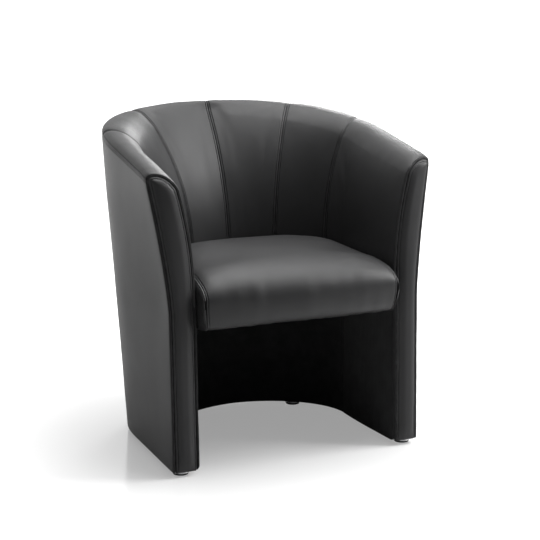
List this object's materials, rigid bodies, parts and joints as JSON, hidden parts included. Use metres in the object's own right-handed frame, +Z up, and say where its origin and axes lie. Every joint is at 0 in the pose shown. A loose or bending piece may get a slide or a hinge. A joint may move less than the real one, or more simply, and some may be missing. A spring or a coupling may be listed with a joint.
{
  "type": "upholstered reception tub chair",
  "caption": "Leather tub chair: one padded wall wraps round as arms and back, with fluted inside panels, a crowned seat over an open base, and low levelling feet.",
  "frame": {"origin": "centre of the bounding box's base, on the floor that the chair stands on", "axes": "+X to the right for someone who faces the chair's front, +Y from the front to the back, +Z up"},
  "size_m": [0.66, 0.603, 0.733],
  "materials": {
    "leather": "satin black",
    "lining": "matt black",
    "webbing": "woven elastic",
    "foam": "open cell foam",
    "wadding": "fibre wadding",
    "board": "bent board",
    "timber": "unfinished hardwood",
    "steel": "zinc plated",
    "chrome": "bright",
    "pad": "matt black"
  },
  "bodies": {
    "chair": {"base_former": "timber", "seat_rail": "timber", "top_former": "timber", "front_post_left": "timber", "front_post_right": "timber", "arm_rib_left": "timber", "arm_rib_right": "timber", "rear_rib_left": "timber", "rear_rib_right": "timber", "back_rib_left": "timber", "back_rib_right": "timber", "outer_board": "board", "upper_inner_board": "board", "lower_inner_board": "board", "outer_wadding": "wadding", "front_wadding_left": "foam", "front_wadding_right": "foam", "arm_foam_left": "foam", "arm_foam_right": "foam", "side_back_foam_left": "foam", "side_back_foam_right": "foam", "centre_back_foam_left": "foam", "centre_back_foam_right": "foam", "outer_cover": "leather", "front_facing_left": "leather", "front_facing_right": "leather", "inside_arm_left": "leather", "inside_arm_right": "leather", "side_back_panel_left": "leather", "side_back_panel_right": "leather", "centre_back_panel_left": "leather", "centre_back_panel_right": "leather", "lower_lining": "lining", "base_dust_cover": "lining", "seat_frame": "timber", "seat_webbing_across": "webbing", "seat_webbing_along": "webbing", "seat_foam": "foam", "seat_front_foam": "foam", "seat_cover": "leather", "seat_cheek_left": "leather", "seat_cheek_right": "leather", "seat_rear_band": "lining", "seat_dust_cover": "lining", "seat_bolts": "steel", "seat_tee_nuts": "steel", "foot_insert_nuts": "steel"},
    "foot_front_left": {"foot_front_left": "chrome", "foot_pad_front_left": "pad"},
    "foot_front_right": {"foot_front_right": "chrome", "foot_pad_front_right": "pad"},
    "foot_rear_left": {"foot_rear_left": "chrome", "foot_pad_rear_left": "pad"},
    "foot_rear_right": {"foot_rear_right": "chrome", "foot_pad_rear_right": "pad"}
  },
  "joints": [
    {"name": "front_left_levelling", "type": "slide", "parent": "chair", "child": "foot_front_left", "axis": [0, 0, -1], "range_m": [0, 0.008]},
    {"name": "front_right_levelling", "type": "slide", "parent": "chair", "child": "foot_front_right", "axis": [0, 0, -1], "range_m": [0, 0.008]},
    {"name": "rear_left_levelling", "type": "slide", "parent": "chair", "child": "foot_rear_left", "axis": [0, 0, -1], "range_m": [0, 0.008]},
    {"name": "rear_right_levelling", "type": "slide", "parent": "chair", "child": "foot_rear_right", "axis": [0, 0, -1], "range_m": [0, 0.008]}
  ]
}
